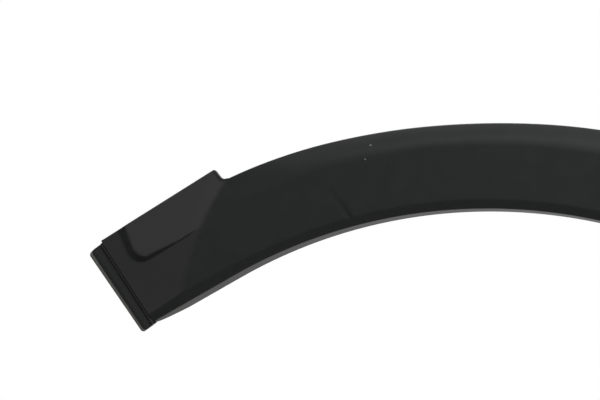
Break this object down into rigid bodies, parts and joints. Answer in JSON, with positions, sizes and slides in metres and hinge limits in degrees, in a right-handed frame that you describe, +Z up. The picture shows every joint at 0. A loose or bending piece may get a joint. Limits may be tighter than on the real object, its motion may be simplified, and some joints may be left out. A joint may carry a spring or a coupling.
{
  "type": "wheel arch trim",
  "caption": "Moulded wheel arch trim: a crowned black plastic channel round the wheel opening, with a flat end panel, a lap strip, and push-in clips at its back.",
  "frame": {"origin": "axis of the clip at the crown, at the surface of the car's body", "axes": "+X towards the plain far end of the arch, +Y into the body along the clips, +Z up"},
  "size_m": [0.8031, 0.0316, 0.4249],
  "materials": {
    "moulding": "fine-grained black, matte",
    "clips": "natural nylon",
    "seals": "matte"
  },
  "bodies": {
    "root": {"arch_moulding": "moulding", "retaining_clips": "clips", "clip_seals": "seals"}
  },
  "joints": []
}
